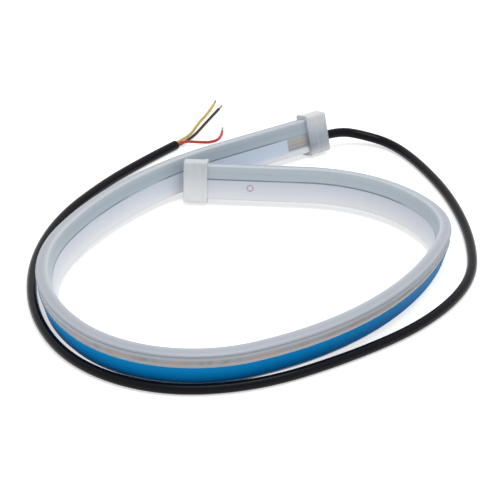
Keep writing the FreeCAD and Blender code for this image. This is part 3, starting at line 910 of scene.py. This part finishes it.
class StrandTree(NodeTree):
    """Lays a ring of thin strands round a line, turning as they go and opening at the end."""

    SIDES = 8
    OPENING = 0.5

    def __init__(self) -> None:
        """Builds the tree."""
        super().__init__("strand_lay", Strands="Int", Ring="Float", Radius="Float", Turns="Float",
                         Finish="Material")
        copies = self.add("GeometryNodeDuplicateElements")
        copies.domain = "SPLINE"
        self.join(self.source["Line"], copies.inputs["Geometry"])
        self.join(self.source["Strands"], copies.inputs["Amount"])
        place = self.add("GeometryNodeSetPosition")
        self.join(copies.outputs["Geometry"], place.inputs["Geometry"])
        self.join(self.offset(copies.outputs["Duplicate Index"]), place.inputs["Offset"])
        strands = self.add("GeometryNodeJoinGeometry")
        self.join(place.outputs["Geometry"], strands.inputs["Geometry"])
        self.join(self.source["Line"], strands.inputs["Geometry"])
        circle = self.add("GeometryNodeCurvePrimitiveCircle")
        circle.inputs["Resolution"].default_value = self.SIDES
        self.join(self.source["Radius"], circle.inputs["Radius"])
        sweep = self.add("GeometryNodeCurveToMesh")
        sweep.inputs["Fill Caps"].default_value = True
        self.join(strands.outputs["Geometry"], sweep.inputs["Curve"])
        self.join(circle.outputs["Curve"], sweep.inputs["Profile Curve"])
        self.finish(sweep.outputs["Mesh"])

    def offset(self, index: Socket) -> Socket:
        """How far a strand lies from the line, and on which side.

        Args:
            index: Number of the strand.

        Returns:
            The offset as a vector.
        """
        parameter = self.add("GeometryNodeSplineParameter").outputs["Factor"]
        turn = self.math("ADD", self.math("DIVIDE", index, self.source["Strands"]),
                         self.math("MULTIPLY", parameter, self.source["Turns"]))
        rotate = self.add("ShaderNodeVectorRotate")
        self.join(self.add("GeometryNodeInputNormal").outputs[0], rotate.inputs["Vector"])
        self.join(self.add("GeometryNodeInputTangent").outputs[0], rotate.inputs["Axis"])
        self.join(self.math("MULTIPLY", turn, math.tau), rotate.inputs["Angle"])
        opening = self.math("MULTIPLY_ADD", parameter, self.OPENING, 1.0)
        scale = self.add("ShaderNodeVectorMath")
        scale.operation = "SCALE"
        self.join(rotate.outputs[0], scale.inputs[0])
        self.join(self.math("MULTIPLY", self.source["Ring"], opening), scale.inputs["Scale"])
        return scale.outputs[0]


def poly_curve(name: str, points: list[Vector], closed: bool) -> bpy.types.Object:
    """A curve object of straight pieces.

    Args:
        name: Name of the object.
        points: Its points.
        closed: Whether it runs back to its start.

    Returns:
        The object.
    """
    data = bpy.data.curves.new(name, "CURVE")
    data.dimensions = "3D"
    spline = data.splines.new("POLY")
    spline.points.add(len(points) - 1)
    for place, point in zip(spline.points, points):
        place.co = (*point, 1.0)
    spline.use_cyclic_u = closed
    return link(name, data)


def frozen(piece: bpy.types.Object, name: str) -> bpy.types.Object:
    """Turns an object with live modifiers into a plain mesh object with outward faces.

    Args:
        piece: The object, which is deleted.
        name: Name of the new object.

    Returns:
        The plain mesh object.
    """
    graph = bpy.context.evaluated_depsgraph_get()
    mesh = bpy.data.meshes.new_from_object(piece.evaluated_get(graph), depsgraph=graph)
    mesh.name = name
    bpy.data.objects.remove(piece)
    work = bmesh.new()
    work.from_mesh(mesh)
    bmesh.ops.recalc_face_normals(work, faces=work.faces)
    work.to_mesh(mesh)
    work.free()
    mesh.shade_smooth()
    mesh.set_sharp_from_angle(angle=SHARP_ANGLE)
    return link(name, mesh)


@dataclass
class Strip:
    """The silicone strip, rolled up on its edge."""

    line: RollLine
    height: float = 0.0162
    thickness: float = 0.0055
    top_corner: float = 0.001
    low_corner: float = 0.0006
    crease_height: float = 0.0094
    crease_width: float = 0.0004
    crease_depth: float = 0.0002
    lean: float = math.radians(16.0)
    corner_steps: int = 5

    def section(self) -> list[Vector]:
        """Points of the section: X out of the back, Y up the face, with the crease on the front.

        Returns:
            The points, in order round the section.
        """
        half = self.thickness / 2
        corners = [
            (half - self.low_corner, self.low_corner, self.low_corner, -90),
            (half - self.top_corner, self.height - self.top_corner, self.top_corner, 0),
            (self.top_corner - half, self.height - self.top_corner, self.top_corner, 90),
            (self.low_corner - half, self.low_corner, self.low_corner, 180),
        ]
        points = []
        for number, (x, y, radius, first) in enumerate(corners):
            for step in range(self.corner_steps + 1):
                turn = math.radians(first + 90 * step / self.corner_steps)
                points.append(Vector((x + radius * math.cos(turn), y + radius * math.sin(turn), 0)))
            if number == 2:
                points += self.crease()
        return points

    def crease(self) -> list[Vector]:
        """Points of the shallow line on the front face, from above.

        Returns:
            The four points.
        """
        front = -self.thickness / 2
        reach = self.crease_width / 2
        sides = [(front, reach), (front + self.crease_depth, reach / 2),
                 (front + self.crease_depth, -reach / 2), (front, -reach)]
        return [Vector((x, self.crease_height + y, 0)) for x, y in sides]

    def build(self) -> bpy.types.Object:
        """Sweeps the section along the roll and gives it its finish.

        Returns:
            The strip.
        """
        section = poly_curve("strip_section", self.section(), True)
        line = poly_curve("strip_line", self.line.points(), False)
        finish = SiliconeFinish(self.height / MM, self.thickness / MM, self.crease_height / MM)
        strip = SweepTree().apply(line, "silicone_strip", Section=section, Lean=self.lean,
                                  Finish=finish.make())
        bpy.data.objects.remove(section)
        return settle(strip, "silicone", "silicone_profile")


@dataclass
class Strands:
    """Bare tinned strands past the end of a core."""

    node: str
    start: Vector
    ahead: Vector
    length: float = 0.0045
    ring: float = 0.00029
    radius: float = 0.00014
    count: int = 6
    turns: float = 0.7
    steps: int = 12

    def build(self) -> bpy.types.Object:
        """Lays the strands in line with the core's end.

        Returns:
            The strands as one piece.
        """
        pitch = self.length / self.steps
        points = [self.start + self.ahead * (pitch * step) for step in range(self.steps + 1)]
        line = poly_curve(self.node + "_line", points, False)
        strands = StrandTree().apply(line, self.node + "_strands", Strands=self.count, Ring=self.ring,
                                     Radius=self.radius, Turns=self.turns, Finish=TINNED.make())
        return settle(strands, "tinned_copper", self.node)


@dataclass
class Cord:
    """A free cable or core that lies on the floor, with its route in millimetres."""

    name: str
    node: str
    slot: str
    finish: PlainFinish
    diameter: float
    length: float
    stiffness: Stiffness
    route: list[tuple[float, float, float]]
    tip: str = ""
    ring_steps: int = 6
    curve_steps: int = 10

    def build(self) -> bpy.types.Object:
        """Lays the cord along its route as one smooth curve.

        Returns:
            The cord.
        """
        points = [Vector(point) * MM for point in self.route]
        data = bpy.data.curves.new(self.name, "CURVE")
        data.dimensions = "3D"
        data.bevel_depth = self.diameter / 2
        data.bevel_resolution = self.ring_steps
        data.use_fill_caps = True
        data.resolution_u = self.curve_steps
        data.materials.append(self.finish.make())
        spline = data.splines.new("NURBS")
        spline.points.add(len(points) - 1)
        for place, point in zip(spline.points, points):
            place.co = (*point, 1.0)
        spline.order_u = 3
        spline.use_endpoint_u = True
        piece = settle(link(self.name, data), self.slot, self.node)
        ahead = (points[-1] - points[-2]).normalized()
        tips = [Strands(self.tip, points[-1], ahead).build()] if self.tip else []
        return piece


CABLE = Cord("cable", "cable_jacket", "jacket_black", JACKET, 0.0045, 0.6257, Stiffness.MEDIUM, [
    (36.4, 109.58, 7.77),
    (44.68, 115.19, 7.77),
    (55.97, 117.06, 4.95),
    (70.12, 111.72, 2.75),
    (82.64, 89.86, 2.25),
    (94.76, 53.89, 2.25),
    (100.67, 11.89, 2.25),
    (97.92, -26.61, 2.25),
    (76.36, -62.45, 2.25),
    (42.48, -90.97, 2.25),
    (3.91, -113.85, 2.25),
    (-35.88, -117.57, 2.25),
    (-70.33, -97.35, 2.25),
    (-90.05, -58.52, 2.25),
    (-94.95, -11.3, 2.25),
    (-86.41, 32.04, 2.25),
    (-67.22, 68.48, 2.25),
    (-47.03, 96.35, 2.25),
    (-34.77, 111.1, 2.25),
])

CORES = [
    Cord("yellow_core_end", "yellow_core", "core_yellow", YELLOW, 0.0014, 0.0542, Stiffness.LIMP, [
        (-35.38, 111.62, 2.71),
        (-32.19, 115.46, 2.71),
        (-27.77, 125.1, 1.4),
        (-24.37, 139.6, 0.7),
        (-19.37, 152.6, 0.7),
        (-17.07, 162.1, 0.7),
    ], "yellow_tip"),
    Cord("black_core_end", "black_core", "core_black", BLACK, 0.0014, 0.0501, Stiffness.LIMP, [
        (-34.77, 111.1, 1.33),
        (-31.57, 114.95, 1.33),
        (-26.17, 123.5, 1.2),
        (-22.17, 135.7, 0.7),
        (-17.57, 148.1, 0.7),
        (-14.37, 156.5, 0.7),
    ], "black_tip"),
    Cord("red_core_end", "red_core", "core_red", RED, 0.0014, 0.0326, Stiffness.LIMP, [
        (-34.15, 110.59, 2.71),
        (-30.96, 114.44, 2.71),
        (-24.17, 116.1, 1.4),
        (-16.97, 117.5, 0.7),
        (-12.77, 122.7, 0.7),
        (-12.37, 129.7, 0.7),
    ], "red_tip"),
]


def solid_finishes() -> dict[str, Finish]:
    """Finishes of the solids that keep their shape.

    Returns:
        The finish of each, by its node.
    """
    return {
        "free_end_cap": FREE_CAP,
        "cable_end_cap": CABLE_CAP,
        "release_liner": FilmFinish(),
        "foam_tape": FOAM,
        "circuit_board": BOARD,
        "white_leds": WHITE_LAMP,
        "amber_leds": AMBER_LAMP,
        "chip_resistors": CHIP,
        "solder_joints": SOLDER,
        "yellow_lead": YELLOW,
        "red_lead": RED,
        "black_lead": BLACK,
        "cable_end_sealant": SEALANT,
        "free_end_sealant": SEALANT,
    }


@dataclass
class Solids:
    """The solids that keep their shape and get a finish."""

    finishes: dict[str, Finish] = field(default_factory=solid_finishes)

    def dress(self) -> None:
        """Gives each solid its finish."""
        made = {finish: finish.make() for finish in dict.fromkeys(self.finishes.values())}
        for node, finish in self.finishes.items():
            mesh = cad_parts[node].data
            mesh.materials.clear()
            mesh.materials.append(made[finish])
            LOG.info("dressed %s", node)


@dataclass
class Studio:
    """White floor, soft light and the camera."""

    target: tuple[float, float, float] = (0.00137, 0.00661, 0.0)
    elevation: float = math.radians(28.0)
    distance: float = 1.0335
    lens: float = 166.7
    sensor: float = 36.0
    floor_size: float = 6.0
    floor_grey: float = 0.86
    floor_roughness: float = 0.9
    lift: float = 0.5
    sky: float = 0.66
    key_power: float = 7.0
    key_size: float = 0.9
    key_place: tuple[float, float, float] = (0.15, -0.1, 1.2)

    def build(self) -> None:
        """Makes the camera, floor, world and lamp."""
        self.camera()
        self.floor()
        self.world()
        self.key()
        bpy.context.scene.view_settings.view_transform = "Standard"

    def camera(self) -> None:
        """Puts the camera where the picture was taken from."""
        data = bpy.data.cameras.new("camera")
        data.lens = self.lens
        data.sensor_width = self.sensor
        camera = link("camera", data)
        back = Vector((0, -math.cos(self.elevation), math.sin(self.elevation)))
        camera.location = Vector(self.target) + back * self.distance
        camera.rotation_euler = (math.pi / 2 - self.elevation, 0, 0)
        bpy.context.scene.camera = camera

    def floor(self) -> None:
        """Lays a white floor that the camera sees as the background."""
        half = self.floor_size / 2
        mesh = bpy.data.meshes.new("floor")
        corners = [(-half, -half, 0), (half, -half, 0), (half, half, 0), (-half, half, 0)]
        mesh.from_pydata(corners, [], [(0, 1, 2, 3)])
        material = bpy.data.materials.new("white_floor")
        material.use_nodes = True
        nodes, links = material.node_tree.nodes, material.node_tree.links
        surface = nodes["Principled BSDF"]
        surface.inputs["Base Color"].default_value = (self.floor_grey, self.floor_grey, self.floor_grey, 1)
        surface.inputs["Roughness"].default_value = self.floor_roughness
        surface.inputs["Specular IOR Level"].default_value = 0.0
        surface.inputs["Emission Color"].default_value = (1, 1, 1, 1)
        lift = nodes.new("ShaderNodeMath")
        lift.operation = "MULTIPLY"
        lift.inputs[1].default_value = self.lift
        links.new(self.seen(nodes, links), lift.inputs[0])
        links.new(lift.outputs[0], surface.inputs["Emission Strength"])
        mesh.materials.append(material)
        floor = link("floor", mesh)

    def world(self) -> None:
        """Makes an even white sky that looks pure white where it is seen."""
        world = bpy.data.worlds.new("white_studio")
        world.use_nodes = True
        bpy.context.scene.world = world
        nodes, links = world.node_tree.nodes, world.node_tree.links
        light = nodes["Background"]
        light.inputs["Color"].default_value = (1, 1, 1, 1)
        strength = nodes.new("ShaderNodeMapRange")
        strength.inputs["To Min"].default_value = self.sky
        links.new(self.seen(nodes, links), strength.inputs["Value"])
        links.new(strength.outputs["Result"], light.inputs["Strength"])

    def seen(self, nodes: bpy.types.Nodes, links: bpy.types.NodeLinks) -> Socket:
        """Tells rays that show the background from those that only carry light.

        Args:
            nodes: Nodes of the material or the world.
            links: Links between them.

        Returns:
            1 for what is seen by the camera, in a reflection or through glass.
        """
        path = nodes.new("ShaderNodeLightPath")
        shown = path.outputs["Is Camera Ray"]
        for name in ("Is Glossy Ray", "Is Transmission Ray"):
            either = nodes.new("ShaderNodeMath")
            either.operation = "MAXIMUM"
            links.new(shown, either.inputs[0])
            links.new(path.outputs[name], either.inputs[1])
            shown = either.outputs[0]
        return shown

    def key(self) -> None:
        """Hangs a large soft lamp over the strip."""
        data = bpy.data.lights.new("key", "AREA")
        data.shape = "DISK"
        data.size = self.key_size
        data.energy = self.key_power
        lamp = link("key", data)
        lamp.location = self.key_place
        lamp.rotation_euler = (-lamp.location).to_track_quat("-Z", "Y").to_euler()


def main() -> None:
    """Builds every piece in order."""
    logging.basicConfig(level=logging.INFO, format="%(message)s")
    Studio().build()
    CABLE.build()
    for core in CORES:
        core.build()
    Strip(RollLine()).build()
    Solids().dress()


if __name__ == "__main__":
    main()
